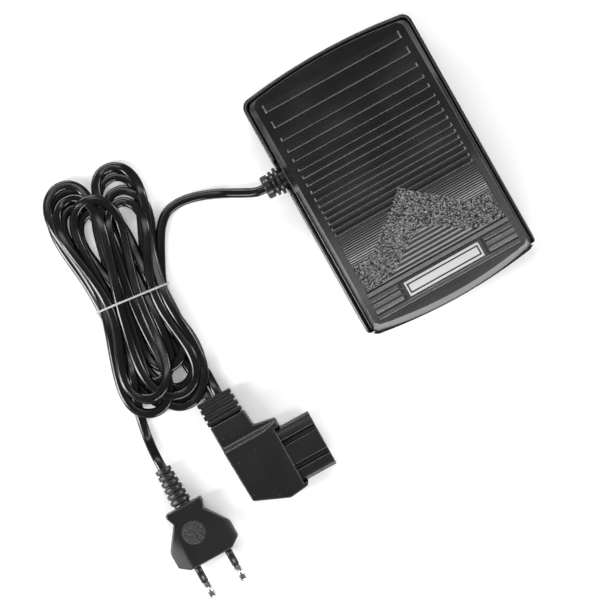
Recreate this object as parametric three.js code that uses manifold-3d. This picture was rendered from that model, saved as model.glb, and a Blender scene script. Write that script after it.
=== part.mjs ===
// Foot control for a sewing machine, with its two flat leads folded into one tied hank,
// the right-angle machine connector and the two-pin mains plug.
// Millimetres, +Z up.  The origin is on the floor under the middle of the pedal.
// +Y runs from the heel (hinge) to the toe, +X is the side where the lead comes out.

import * as THREE from 'three';
import { mergeVertices } from 'three/addons/utils/BufferGeometryUtils.js';
import Module from 'manifold-3d';

const wasm = await Module();
wasm.setup();

// ---------------------------------------------------------------- driving dimensions
const PEDAL_LENGTH = 148;
const PEDAL_WIDTH = 100.5;
const HALF_LENGTH = PEDAL_LENGTH / 2;
const HALF_WIDTH = PEDAL_WIDTH / 2;
const WALL = 2.2;
const GAP = 0.3;
const FOOT_HEIGHT = 3;
const TRAY_FLOOR = 5.4;
const TRAY_RIM_HEEL = 18;
const TRAY_RIM_TOE = 25;
const TRAY_TOE = 68;
const HEEL_BOW = 4;
const TOE_BOW = 5;
const CORNER = 5.5;

const PRESS_ANGLE = THREE.MathUtils.degToRad(6);
const HINGE_Y = -62;
const HINGE_Z = 10;
const HINGE_ROD_RADIUS = 1.5;
const HINGE_CLEARANCE = 0.1;

const PANEL_HALF_WIDTH = 44.7;
const PANEL_HEEL = -70.6;
const PANEL_TOE = 70;
const PANEL_HEEL_HEIGHT = 21;
const PANEL_HEEL_SLOPE = 0.2217;
const PANEL_BEND = 0.0004135;
const SKIRT_HALF_WIDTH = HALF_WIDTH - WALL - 0.45;
const SKIRT_WALL = 2;
const LEDGE_INSET = 1.3;
const RIB_HEIGHT = 0.7;
const RIB_START_HEIGHT = 0.25;
const RIB_HALF_WIDTH = 41;

const BOARD_TOP = 10.6;
const LEAD_WIDTH = 5.2;
const LEAD_THICKNESS = 3.3;
const ENTRY_Y = -25.5;
const ENTRY_Z = 10.5;

const WIPER_TRAVEL = 8;
const WIPER_REST_Y = -5;
const WIPER_PIN_Z = 22.5;
const WIPER_PIN_RADIUS = 1.5;

// ---------------------------------------------------------------- materials
const finish = (color, roughness, metalness = 0) =>
  new THREE.MeshStandardMaterial({ color, roughness, metalness });
const blackPlastic = finish(0x17171a, 0.38);
const blackLead = finish(0x121214, 0.42);
const blackRubber = finish(0x1b1b1c, 0.8);
const silverPlate = finish(0xd8d9da, 0.35, 0.6);
const steel = finish(0xa9abad, 0.35, 1);
const nickel = finish(0xc9c6bd, 0.22, 1);
const brass = finish(0xb8924a, 0.3, 1);
const aluminium = finish(0xb4b6b8, 0.45, 1);
const boardBrown = finish(0x8a6a36, 0.6);
const phenolic = finish(0x2c2a28, 0.5);
const capacitorYellow = finish(0xd2a83a, 0.45);
const capacitorBlue = finish(0x28539a, 0.4);
const ferrite = finish(0x2b2c2e, 0.7);
const copper = finish(0xb5602c, 0.35, 1);
const ceramic = finish(0xcfc6b0, 0.7);
const leadBrown = finish(0x5a3420, 0.5);
const leadBlue = finish(0x2a4f92, 0.5);
const tieWhite = finish(0xd9d9d6, 0.5);

// ---------------------------------------------------------------- solids and booleans
function solid(geometry) {
  const bare = (geometry.index ? geometry.toNonIndexed() : geometry).clone();
  bare.deleteAttribute('normal');
  bare.deleteAttribute('uv');
  const merged = mergeVertices(bare, 1e-4);
  return new wasm.Manifold(new wasm.Mesh({
    numProp: 3,
    vertProperties: new Float32Array(merged.attributes.position.array),
    triVerts: new Uint32Array(merged.index.array),
  }));
}

function geometryOf(manifold) {
  const mesh = manifold.getMesh();
  const geometry = new THREE.BufferGeometry();
  geometry.setAttribute('position', new THREE.BufferAttribute(new Float32Array(mesh.vertProperties), 3));
  geometry.setIndex(new THREE.BufferAttribute(new Uint32Array(mesh.triVerts), 1));
  geometry.computeVertexNormals();
  return geometry;
}

const joined = (first, ...rest) => rest.reduce((sum, piece) => sum.add(piece), first);
const cutBy = (first, ...rest) => rest.reduce((sum, piece) => sum.subtract(piece), first);

function block(x0, x1, y0, y1, z0, z1) {
  const box = new THREE.BoxGeometry(x1 - x0, y1 - y0, z1 - z0);
  return solid(box.translate((x0 + x1) / 2, (y0 + y1) / 2, (z0 + z1) / 2));
}

// Bases that lay an extrusion out along X, Y or Z: shape x, shape y, extrusion direction.
const ALONG_X = new THREE.Matrix4().makeBasis(
  new THREE.Vector3(0, 1, 0), new THREE.Vector3(0, 0, 1), new THREE.Vector3(1, 0, 0));
const ALONG_Y = new THREE.Matrix4().makeBasis(
  new THREE.Vector3(0, 0, 1), new THREE.Vector3(1, 0, 0), new THREE.Vector3(0, 1, 0));
const ALONG_Z = new THREE.Matrix4();

function extruded(shape, from, to, basis = ALONG_Z, curveSegments = 6) {
  const depth = to - from;
  const geometry = new THREE.ExtrudeGeometry(shape, { depth, steps: 1, bevelEnabled: false, curveSegments });
  return solid(geometry.translate(0, 0, from).applyMatrix4(basis));
}

// A round bar along an axis, from one station to another, about a centre line.
function bar(radius, from, to, basis, u, v, sides = 20) {
  const circle = new THREE.Shape().absarc(u, v, radius, 0, Math.PI * 2);
  return extruded(circle, from, to, basis, sides);
}

// A turned piece: profile is a list of [radius, station along the axis], starting and ending on the axis.
function turned(profile, basis, at, sides = 24) {
  const points = profile.map(([radius, station]) => new THREE.Vector2(radius, station));
  const lathe = new THREE.LatheGeometry(points, sides);
  const axisUp = new THREE.Matrix4().makeRotationX(Math.PI / 2);
  const placed = lathe.applyMatrix4(axisUp).applyMatrix4(basis);
  return solid(placed.translate(at.x, at.y, at.z));
}

function polygon(points) {
  return new THREE.Shape(points.map(([x, y]) => new THREE.Vector2(x, y)));
}

// ---------------------------------------------------------------- outline and heights of the pedal
const panelHeight = (y) => {
  const run = y - PANEL_HEEL;
  return PANEL_HEEL_HEIGHT + PANEL_HEEL_SLOPE * run - PANEL_BEND * run * run;
};
const rimHeight = (y) =>
  TRAY_RIM_HEEL + (TRAY_RIM_TOE - TRAY_RIM_HEEL) * (y + HALF_LENGTH) / (TRAY_TOE + HALF_LENGTH);
const skirtBottom = (y) => 6.5 + Math.tan(PRESS_ANGLE) * (y - HINGE_Y + 2);

// Half of the plan outline, from the middle of the heel edge round the +X side to the middle of the toe
// edge, as [x, y] stations.  Both end edges bow outwards and the corners are round.
function halfOutline(halfWidth, heel, toe, heelBow, toeBow, corner) {
  const stations = [];
  const endSteps = 7;
  const cornerSteps = 7;
  const sideSteps = 10;
  const flat = halfWidth - corner;
  const bowAt = (edge, bow, x) => edge - bow * (x / halfWidth) ** 2;
  for (let i = 0; i <= endSteps; i += 1) {
    const x = flat * i / endSteps;
    stations.push([x, -bowAt(-heel, heelBow, x)]);
  }
  const heelCorner = -bowAt(-heel, heelBow, flat);
  for (let i = 1; i <= cornerSteps; i += 1) {
    const angle = Math.PI / 2 * i / cornerSteps;
    stations.push([flat + corner * Math.sin(angle), heelCorner + corner * (1 - Math.cos(angle))]);
  }
  const toeCorner = bowAt(toe, toeBow, flat);
  const sideStart = heelCorner + corner;
  const sideEnd = toeCorner - corner;
  for (let i = 1; i < sideSteps; i += 1) {
    stations.push([halfWidth, sideStart + (sideEnd - sideStart) * i / sideSteps]);
  }
  for (let i = 0; i < cornerSteps; i += 1) {
    const angle = Math.PI / 2 * i / cornerSteps;
    stations.push([flat + corner * Math.cos(angle), sideEnd + corner * Math.sin(angle)]);
  }
  for (let i = endSteps; i >= 0; i -= 1) {
    const x = flat * i / endSteps;
    stations.push([x, bowAt(toe, toeBow, x)]);
  }
  return stations;
}

function outlineShape(half) {
  const mirrored = half.slice(1, -1).reverse().map(([x, y]) => [-x, y]);
  return polygon([...half, ...mirrored]);
}

// A solid through rings of the same outline stations; each ring is { half, height(x, y) }.  The caps run
// across in strips, so that they may curve along the pedal.
function ringLoft(rings) {
  const count = rings[0].half.length;
  const positions = [];
  for (const ring of rings) {
    for (const [x, y] of ring.half) {
      positions.push(x, y, ring.height(y), -x, y, ring.height(y));
    }
  }
  const index = [];
  const right = (ring, station) => 2 * (ring * count + station);
  const left = (ring, station) => right(ring, station) + 1;
  const quad = (a, b, c, d) => index.push(a, b, c, a, c, d);
  for (let ring = 0; ring + 1 < rings.length; ring += 1) {
    for (let i = 0; i + 1 < count; i += 1) {
      quad(right(ring, i), right(ring, i + 1), right(ring + 1, i + 1), right(ring + 1, i));
      quad(left(ring, i + 1), left(ring, i), left(ring + 1, i), left(ring + 1, i + 1));
    }
  }
  const top = rings.length - 1;
  for (let i = 0; i + 1 < count; i += 1) {
    quad(left(top, i), right(top, i), right(top, i + 1), left(top, i + 1));
    quad(right(0, i), left(0, i), left(0, i + 1), right(0, i + 1));
  }
  const geometry = new THREE.BufferGeometry();
  geometry.setAttribute('position', new THREE.Float32BufferAttribute(positions, 3));
  geometry.setIndex(index.filter(keepTriangle(positions, index)));
  return solid(geometry);
}

// Drops the triangles that collapse where an outline meets the centre line.
function keepTriangle(positions, index) {
  const key = (vertex) => positions.slice(3 * vertex, 3 * vertex + 3)
    .map((value) => value.toFixed(4)).join();
  const collapsed = new Set();
  for (let i = 0; i < index.length; i += 3) {
    const corners = new Set([key(index[i]), key(index[i + 1]), key(index[i + 2])]);
    if (corners.size < 3) {
      collapsed.add(i / 3);
    }
  }
  return (_, position) => !collapsed.has(Math.floor(position / 3));
}

// ---------------------------------------------------------------- base tray
const FOOT_PLACES = [[-40, -58], [40, -58], [-40, 57], [40, 57]];
const BOARD_POSTS = [[-20, -36], [20, -36], [-20, 30]];
const SPRING_PLACES = [[-32, 40], [32, 40]];
const CLAMP_POSTS = [[32, ENTRY_Y - 8.5], [32, ENTRY_Y + 8.5]];
const EAR_TRAY_X = [29, 37];
const EAR_COVER_X = 33;
const EAR_THICKNESS = 3;
const LUG_X = 24;

function hingeEar(x, top, bottom, reach, holeRadius) {
  const shape = polygon([
    [HINGE_Y - reach, bottom], [HINGE_Y + reach, bottom], [HINGE_Y + reach, top], [HINGE_Y - reach, top]]);
  const plate = extruded(shape, x, x + EAR_THICKNESS, ALONG_X);
  return plate.subtract(bar(holeRadius, x - 1, x + EAR_THICKNESS + 1, ALONG_X, HINGE_Y, HINGE_Z));
}

function eachSide(make) {
  return [1, -1].map((side) => {
    const piece = make();
    return side > 0 ? piece : piece.mirror([1, 0, 0]);
  });
}

function baseTray() {
  const outer = halfOutline(HALF_WIDTH, -HALF_LENGTH, HALF_LENGTH, HEEL_BOW, TOE_BOW - 0.8, CORNER);
  const inner = halfOutline(HALF_WIDTH - WALL, -HALF_LENGTH + WALL, TRAY_TOE + 30,
    HEEL_BOW, 0, CORNER - WALL);
  const body = ringLoft([
    { half: outer, height: () => FOOT_HEIGHT },
    { half: outer, height: rimHeight },
  ]);
  const hollow = ringLoft([
    { half: inner, height: () => TRAY_FLOOR },
    { half: inner, height: () => TRAY_RIM_TOE + 20 },
  ]);
  const frontWall = block(-41, 41, 63.8, 66, TRAY_FLOOR - 0.5, 24);
  const lugWindows = [-LUG_X, LUG_X].map((x) => block(x - 4, x + 4, 60, 68, TRAY_FLOOR, 22.3));
  const beyondToe = block(-60, 60, TRAY_TOE, 90, 0, 60);
  const tray = joined(cutBy(body, hollow, beyondToe), cutBy(frontWall, ...lugWindows));

  const bosses = [
    ...BOARD_POSTS.map(([x, y]) => bar(3, TRAY_FLOOR - 0.5, BOARD_TOP - 1.9, ALONG_Z, x, y)),
    ...CLAMP_POSTS.map(([x, y]) => bar(3, TRAY_FLOOR - 0.5, 12.2, ALONG_Z, x, y)),
    ...SPRING_PLACES.map(([x, y]) => bar(3.2, TRAY_FLOOR - 0.5, 9, ALONG_Z, x, y)),
    block(30, 34, ENTRY_Y - 4, ENTRY_Y + 4, TRAY_FLOOR - 0.5, 8.6),
    block(42.2, 45.2, ENTRY_Y - 8, ENTRY_Y + 8, TRAY_FLOOR - 0.5, 16),
    ...EAR_TRAY_X.flatMap((x) =>
      eachSide(() => hingeEar(x, 14, TRAY_FLOOR - 0.5, 3.2, HINGE_ROD_RADIUS + HINGE_CLEARANCE))),
  ];
  const cuts = [
    ...[...BOARD_POSTS, ...CLAMP_POSTS].map(([x, y]) => bar(1.4, TRAY_FLOOR - 0.3, 20, ALONG_Z, x, y, 12)),
    ...FOOT_PLACES.map(([x, y]) => bar(2.5, 0, 10, ALONG_Z, x, y, 16)),
    bar(4.7, 41, 46, ALONG_X, ENTRY_Y, ENTRY_Z),
    block(41, 46, ENTRY_Y - 4.7, ENTRY_Y + 4.7, ENTRY_Z, 20),
    block(HALF_WIDTH - WALL - 1, HALF_WIDTH + 1, ENTRY_Y - 9.8, ENTRY_Y + 9.8, TRAY_FLOOR, 40),
    block(-26, 26, -16, 18, FOOT_HEIGHT - 1, FOOT_HEIGHT + 0.5),
  ];
  return cutBy(joined(tray, ...bosses), ...cuts);
}

// ---------------------------------------------------------------- tread cover
const HEEL_RIBS = [
  [-63.2, -59.3], [-54.2, -50], [-45.4, -42], [-38.3, -35.2], [-32.4, -29.5], [-26.8, -23.9],
  [-21.6, -19.3], [-17, -14.8], [-12.4, -10.3], [-7.8, -5.8], [-3.9, -2.1], [-0.3, 1.5], [3.2, 5],
  [6.6, 8.4], [10.1, 11.9], [13.6, 15.4]];
const BAR_PITCH = 3.2;
const BAR_WIDTH = 2.2;
const BAR_FIRST = 49.3;
const BAR_COUNT = 5;
const BADGE = { halfWidth: 22.2, heel: 53.2, toe: 61.2 };

// A rail that follows the curved panel: from below its surface to a height above it at each end.
function panelRail(x0, x1, y0, y1, below, above, aboveHeelEnd = above) {
  const shape = polygon([
    [y0, panelHeight(y0) - below], [y1, panelHeight(y1) - below],
    [y1, panelHeight(y1) + above], [y0, panelHeight(y0) + aboveHeelEnd]]);
  return extruded(shape, x0, x1, ALONG_X);
}

// A heel rib rises like a step towards the toe.  It stops at the point of the grained chevron.
const CHEVRON_POINT = 8.5;
const CHEVRON_SPREAD = 1.05;

function heelRib([from, to]) {
  const rail = (x0, x1) => panelRail(x0, x1, from, to, 0.5, RIB_HEIGHT, RIB_START_HEIGHT);
  if (to <= CHEVRON_POINT) {
    return [rail(-RIB_HALF_WIDTH, RIB_HALF_WIDTH)];
  }
  const inner = (to - CHEVRON_POINT) * CHEVRON_SPREAD;
  return [rail(inner, RIB_HALF_WIDTH), rail(-RIB_HALF_WIDTH, -inner)];
}

// The slot in the cam plate is the path of the wiper's pin, seen from the turning cover.
function camPath() {
  const steps = 6;
  const path = [];
  for (let i = 0; i <= steps; i += 1) {
    const angle = PRESS_ANGLE * i / steps;
    const along = WIPER_REST_Y + WIPER_TRAVEL * i / steps - HINGE_Y;
    const up = WIPER_PIN_Z - HINGE_Z;
    path.push(new THREE.Vector2(
      HINGE_Y + along * Math.cos(angle) - up * Math.sin(angle),
      HINGE_Z + along * Math.sin(angle) + up * Math.cos(angle)));
  }
  return path;
}

function camPlate() {
  const path = camPath();
  const start = path[0];
  const end = path[path.length - 1];
  const margin = WIPER_PIN_RADIUS + GAP + 1.6;
  const plate = extruded(polygon([
    [start.x - margin, start.y - margin], [start.x + margin, start.y - margin],
    [end.x + margin, end.y - margin], [end.x + margin, panelHeight(end.x + margin) - 1],
    [start.x - margin, panelHeight(start.x - margin) - 1]]), -4.6, -2.6, ALONG_X);
  const holes = [];
  for (let i = 0; i + 1 < path.length; i += 1) {
    const width = WIPER_PIN_RADIUS + GAP;
    const along = path[i + 1].clone().sub(path[i]).normalize();
    const across = new THREE.Vector2(-along.y, along.x).multiplyScalar(width);
    const from = path[i].clone().addScaledVector(along, -0.05);
    const to = path[i + 1].clone().addScaledVector(along, 0.05);
    holes.push(extruded(new THREE.Shape([
      from.clone().sub(across), to.clone().sub(across), to.clone().add(across), from.clone().add(across),
    ]), -6, -1, ALONG_X));
  }
  const ends = [start, end].map((p) => bar(WIPER_PIN_RADIUS + GAP, -6, -1, ALONG_X, p.x, p.y));
  return cutBy(plate, ...holes, ...ends);
}

function treadCover() {
  const rimLift = 1.2;
  const skirt = halfOutline(SKIRT_HALF_WIDTH, -HALF_LENGTH + WALL + 0.5, HALF_LENGTH,
    HEEL_BOW, TOE_BOW, CORNER - 1);
  const skirtTop = halfOutline(SKIRT_HALF_WIDTH - 0.4, -HALF_LENGTH + WALL + 0.9, HALF_LENGTH - 0.4,
    HEEL_BOW, TOE_BOW, CORNER - 1.4);
  const panel = halfOutline(PANEL_HALF_WIDTH, PANEL_HEEL, PANEL_TOE, HEEL_BOW, TOE_BOW - 0.6, CORNER - 1.5);
  const outside = ringLoft([
    { half: skirt, height: skirtBottom },
    { half: skirt, height: (y) => rimHeight(y) + rimLift },
    { half: skirtTop, height: (y) => rimHeight(y) + rimLift + 0.4 },
    { half: panel, height: panelHeight },
  ]);
  const inset = (halfWidth, heel, toe, corner) =>
    halfOutline(halfWidth - SKIRT_WALL, heel + SKIRT_WALL, toe - SKIRT_WALL,
      HEEL_BOW, TOE_BOW - 0.6, corner);
  const innerSkirt = inset(SKIRT_HALF_WIDTH, -HALF_LENGTH + WALL + 0.5, HALF_LENGTH, 3);
  const innerPanel = inset(PANEL_HALF_WIDTH - 0.2, PANEL_HEEL + 1.4, PANEL_TOE - 0.4, 3);
  const inside = ringLoft([
    { half: innerSkirt, height: () => 0 },
    { half: innerSkirt, height: (y) => rimHeight(y) + rimLift - 1 },
    { half: innerPanel, height: (y) => panelHeight(y) - WALL },
  ]);

  const toeLedge = halfOutline(HALF_WIDTH - LEDGE_INSET, -HALF_LENGTH, HALF_LENGTH,
    HEEL_BOW, TOE_BOW - 0.8, CORNER);
  const ledge = ringLoft([
    { half: toeLedge, height: () => 20 },
    { half: toeLedge, height: rimHeight },
  ]).subtract(block(-60, 60, -80, TRAY_TOE + 0.6, 0, 60));

  const ribs = HEEL_RIBS.flatMap(heelRib);
  for (let i = 0; i < BAR_COUNT; i += 1) {
    const from = BAR_FIRST + BAR_PITCH * i;
    const to = from + BAR_WIDTH;
    const clearOfBadge = to < BADGE.heel - 1 || from > BADGE.toe + 0.8;
    if (clearOfBadge) {
      ribs.push(panelRail(-PANEL_HALF_WIDTH, PANEL_HALF_WIDTH, from, to, 0.5, RIB_HEIGHT));
    } else {
      ribs.push(panelRail(BADGE.halfWidth + 3, PANEL_HALF_WIDTH, from, to, 0.5, RIB_HEIGHT));
      ribs.push(panelRail(-PANEL_HALF_WIDTH, -BADGE.halfWidth - 3, from, to, 0.5, RIB_HEIGHT));
    }
  }
  const badgeFrame = panelRail(-BADGE.halfWidth - 1.6, BADGE.halfWidth + 1.6,
    BADGE.heel - 0.7, BADGE.toe + 0.7, 0.5, RIB_HEIGHT);
  const badgeRecess = panelRail(-BADGE.halfWidth - GAP, BADGE.halfWidth + GAP, BADGE.heel - GAP,
    BADGE.toe + GAP, 0.6, 5);
  const longGroove = panelRail(-38.5, 38.5, 66.1, 67.3, 0.7, 5);
  const leadGap = block(SKIRT_HALF_WIDTH - 6, SKIRT_HALF_WIDTH + 1, ENTRY_Y - 6.5, ENTRY_Y + 6.5, 0, 20.9);

  const springCups = SPRING_PLACES.map(([x, y]) => bar(3.2, 33, panelHeight(y) - 1.4, ALONG_Z, x, y));
  const ears = eachSide(() =>
    hingeEar(EAR_COVER_X, PANEL_HEEL_HEIGHT, 7.2, 3, HINGE_ROD_RADIUS + HINGE_CLEARANCE));
  const lugs = [-LUG_X, LUG_X].map((x) => block(x - 3, x + 3, 62, 71.6, 19.9, 22));
  const shell = joined(outside.subtract(inside), ledge.subtract(inside),
    ...springCups, ...ears, ...lugs, camPlate());
  return cutBy(joined(shell, badgeFrame, ...ribs), badgeRecess, longGroove, leadGap);
}

function badgePlate() {
  return panelRail(-BADGE.halfWidth, BADGE.halfWidth, BADGE.heel, BADGE.toe, 0.3, RIB_HEIGHT - 0.1);
}

// ---------------------------------------------------------------- springs, hinge rod, feet, screws
class Helix extends THREE.Curve {
  constructor(radius, bottom, top, turns) {
    super();
    Object.assign(this, { radius, bottom, top, turns });
  }

  getPoint(t) {
    const angle = Math.PI * 2 * this.turns * t;
    const z = this.bottom + (this.top - this.bottom) * t;
    return new THREE.Vector3(this.radius * Math.cos(angle), this.radius * Math.sin(angle), z);
  }
}

const SPRING_WIRE = 0.6;
const SPRING_RADIUS = 4.8;
const SPRING_TURNS = 6;

function returnSpring(x, y) {
  const bottom = TRAY_FLOOR + GAP + SPRING_WIRE;
  const top = panelHeight(y - SPRING_RADIUS) - WALL - GAP - SPRING_WIRE - 0.6;
  const wire = new THREE.Shape().absarc(0, 0, SPRING_WIRE, 0, Math.PI * 2);
  const coil = new THREE.ExtrudeGeometry(wire, {
    steps: SPRING_TURNS * 12, curveSegments: 3, bevelEnabled: false,
    extrudePath: new Helix(SPRING_RADIUS, bottom, top, SPRING_TURNS),
  });
  return solid(coil.translate(x, y, 0));
}

function rubberFoot() {
  return turned([[0, 0], [5.4, 0], [6, 0.6], [6, 2.7], [2.2, 2.7], [2.2, 6.2], [0, 6.2]], ALONG_Z,
    new THREE.Vector3(0, 0, 0));
}

function screw(headRadius, headHeight, shankRadius, shankLength, basis, at) {
  const cross = [block(-1.6, 1.6, -0.35, 0.35, headHeight - 0.8, headHeight + 1),
    block(-0.35, 0.35, -1.6, 1.6, headHeight - 0.8, headHeight + 1)];
  const body = turned([[0, -shankLength], [shankRadius, -shankLength], [shankRadius, 0], [headRadius, 0],
    [headRadius, headHeight * 0.6], [headRadius * 0.6, headHeight], [0, headHeight]], ALONG_Z,
  new THREE.Vector3(0, 0, 0), 16);
  const geometry = geometryOf(cutBy(body, ...cross)).applyMatrix4(basis);
  return solid(geometry.translate(at.x, at.y, at.z));
}

// ---------------------------------------------------------------- speed circuit
function circuitBoard() {
  const plate = block(-24, 24, -40, 34, BOARD_TOP - 1.6, BOARD_TOP);
  return cutBy(plate, ...BOARD_POSTS.map(([x, y]) => bar(1.6, 0, 20, ALONG_Z, x, y, 12)));
}

const POT = { x: -10, halfWidth: 4.5, heel: -22, toe: 23, top: 17.2 };

function slidePotentiometer() {
  const body = block(POT.x - POT.halfWidth, POT.x + POT.halfWidth, POT.heel, POT.toe,
    BOARD_TOP + 0.1, POT.top);
  const slot = block(POT.x - 0.9, POT.x + 0.9, WIPER_REST_Y - 4, WIPER_REST_Y + WIPER_TRAVEL + 4, 13, 20);
  return body.subtract(slot);
}

function wiperSlider() {
  const stem = block(POT.x - 0.6, POT.x + 0.6, WIPER_REST_Y - 2, WIPER_REST_Y + 2, 13.3, WIPER_PIN_Z + 1.7);
  return stem.add(bar(WIPER_PIN_RADIUS, POT.x, -1.4, ALONG_X, WIPER_REST_Y, WIPER_PIN_Z, 16));
}

function heatSink() {
  const channel = block(5, 21, -31.5, -23.5, BOARD_TOP + 0.1, 21);
  const space = block(6.4, 19.6, -30.1, -20, BOARD_TOP - 1, 30);
  const hole = bar(1.7, -40, -20, ALONG_Y, 18, 13);
  return cutBy(channel, space, hole);
}

function triac() {
  const body = block(8, 18, -28.9, -24.6, 12.2, 16.2);
  const tab = block(8, 18, -29.8, -28.5, 12.2, 20.4).subtract(bar(1.7, -40, -20, ALONG_Y, 18, 13));
  const legs = [10, 13, 16].map((x) => block(x - 0.35, x + 0.35, -26.8, -26.2, BOARD_TOP + 0.1, 12.4));
  return joined(body, tab, ...legs);
}

function filmCapacitor() {
  return block(4, 20, -21.5, -13.5, BOARD_TOP + 0.1, 21);
}

const CHOKE = { x: 14, y: -3, z: 17.4, radius: 5.8, neck: 3 };

function chokeCore() {
  return turned([[0, -7.5], [CHOKE.radius, -7.5], [CHOKE.radius, -6], [CHOKE.neck, -6], [CHOKE.neck, 6],
    [CHOKE.radius, 6], [CHOKE.radius, 7.5], [0, 7.5]], ALONG_X,
  new THREE.Vector3(CHOKE.x, CHOKE.y, CHOKE.z));
}

function chokeWinding() {
  const outer = CHOKE.radius - 0.6;
  const inner = CHOKE.neck + GAP;
  const half = 6 - GAP;
  return turned([[inner, -half], [outer, -half], [outer, half], [inner, half], [inner, -half]], ALONG_X,
    new THREE.Vector3(CHOKE.x, CHOKE.y, CHOKE.z));
}

function powerResistor() {
  const body = turned([[0, -6], [2.1, -6], [2.5, -5], [2.2, -3.6], [2.2, 3.6], [2.5, 5], [2.1, 6], [0, 6]],
    ALONG_X, new THREE.Vector3(14, 9, 14.2), 16);
  const legs = [-1, 1].flatMap((side) => [
    bar(0.4, 14 + side * 7.5 - 2, 14 + side * 7.5 + 2, ALONG_X, 9, 14.2, 8),
    bar(0.4, BOARD_TOP + 0.1, 14.3, ALONG_Z, 14 + side * 9.1, 9, 8)]);
  return joined(body, ...legs);
}

function timingCapacitor() {
  return block(9, 19, 16, 20.5, BOARD_TOP + 0.1, 18.6);
}

// ---------------------------------------------------------------- leads
// An oval lead section, turned so that its flat side lies level where the path begins.
function leadSection(width, thickness, turn, sides) {
  const points = [];
  for (let i = 0; i < sides; i += 1) {
    const angle = Math.PI * 2 * (i + 0.5) / sides;
    const across = width / 2 * Math.cos(angle);
    const up = thickness / 2 * Math.sin(angle);
    points.push(new THREE.Vector2(
      across * Math.cos(turn) - up * Math.sin(turn), across * Math.sin(turn) + up * Math.cos(turn)));
  }
  return new THREE.Shape(points);
}

function leadTube(points, steps, width = LEAD_WIDTH, thickness = LEAD_THICKNESS, sides = 10) {
  const path = new THREE.CatmullRomCurve3(points.map((p) => new THREE.Vector3(...p)), false, 'centripetal');
  const frames = path.computeFrenetFrames(steps, false);
  const level = new THREE.Vector3(0, 0, 1).cross(frames.tangents[0]).normalize();
  const turn = Math.atan2(level.dot(frames.binormals[0]), level.dot(frames.normals[0]));
  const section = leadSection(width, thickness, turn, sides);
  return solid(new THREE.ExtrudeGeometry(section, { steps, bevelEnabled: false, extrudePath: path }));
}

const LEAD_REST = LEAD_THICKNESS / 2 + 0.15;
const PEDAL_RUN = [
  [60.9, -25.5, 10.5], [62.6, -25.6, 10.5], [65.6, -26.3, 9.9], [70.5, -28.8, 7.2], [76, -32, 4],
  [82, -35.4, LEAD_REST + 0.4], [89, -38.5, LEAD_REST], [97, -41.2, LEAD_REST],
  [106, -42.4, LEAD_REST], [113.6, -42, LEAD_REST]];
const CONNECTOR_RUNS = [
  [[134.6, 45.6, 3.4], [134.8, 50, 4.8], [135, 55, 5.8], [135, 56.9, 5.8]],
  [[140.6, 51.4, 4.8], [140.9, 53.4, 5.4], [141, 55.4, 5.8], [141, 56.9, 5.8]]];
const PLUG_RUN = [
  [178.7, 55.2, LEAD_REST], [179, 58.4, LEAD_REST + 0.2], [179.4, 64, 3.2],
  [179.7, 71, 6.1], [179.8, 77.1, 6.85]];

const HANK_BOTTOM = 1.6;
const HANK_TOP = 12.2;
const HANK_OUTLINE = [
  [156, -86.5], [167, -80], [171.6, -66], [170.2, -48], [166, -28], [166.6, -10], [172, 8], [179.5, 24],
  [184, 38], [182.6, 49.5], [173.6, 55.6], [161, 58.8], [150.4, 55], [140, 48.2], [132.4, 39.6], [129.4, 28],
  [131.6, 12], [131.4, -8], [124.2, -26], [117.2, -44], [114.2, -60], [115.4, -76], [124, -84.4], [137, -78],
  [146.5, -83.4]];

function cordHank() {
  const corners = [...HANK_OUTLINE, HANK_OUTLINE[0]];
  const loop = new THREE.SplineCurve(corners.map(([x, y]) => new THREE.Vector2(x, y)));
  return extruded(new THREE.Shape(loop.getPoints(72).slice(0, -1)), HANK_BOTTOM, HANK_TOP);
}

const TIE_CENTRE = new THREE.Vector3(149, -9.4, 0);
const TIE_TURN = THREE.MathUtils.degToRad(-6.5);

function hankTie() {
  const ring = (halfWidth, low, high, half) => {
    const turnedBlock = new THREE.BoxGeometry(halfWidth * 2, half * 2, high - low).rotateZ(TIE_TURN);
    return solid(turnedBlock.translate(TIE_CENTRE.x, TIE_CENTRE.y, (low + high) / 2));
  };
  return ring(20.4, 0.3, 13.6, 0.9).subtract(ring(19.4, 1.3, 12.6, 3));
}

// ---------------------------------------------------------------- pedal strain relief and lead clamp
function pedalStrainRelief() {
  return turned([[0, 39.5], [7, 39.5], [7, 41.8], [4.4, 41.8], [4.4, 45.5], [5.5, 45.5], [5.5, 50.8],
    [7.6, 50.9], [7.6, 52.6], [5.3, 52.8], [5.3, 53.6], [6.9, 53.8], [6.9, 55.4], [5.2, 55.6], [5.2, 56.4],
    [6.4, 56.6], [6.4, 59.9], [5.6, 60.5], [0, 60.5]], ALONG_X, new THREE.Vector3(0, ENTRY_Y, ENTRY_Z), 20)
    .subtract(block(39, HALF_WIDTH + GAP, ENTRY_Y - 9, ENTRY_Y + 9, 0, TRAY_FLOOR + GAP));
}

function leadClamp() {
  const bridge = block(29.5, 34.5, ENTRY_Y - 12, ENTRY_Y + 12, 12.3, 14.8);
  return cutBy(bridge, ...CLAMP_POSTS.map(([x, y]) => bar(1.6, 0, 20, ALONG_Z, x, y, 12)));
}

// ---------------------------------------------------------------- machine connector
const CONNECTOR = { top: 16.5, faceX: 114.6, backX: 146.6, neckTop: 13, heel: 71, step: 84.5, toe: 123.5 };
const SOCKET = { tipX: 97.8, heel: 88, toe: 119.6, low: 2.2, high: 14.3 };
const SOCKET_MIDDLE = (SOCKET.heel + SOCKET.toe) / 2;
const CONTACT_PITCH = 10;

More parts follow.
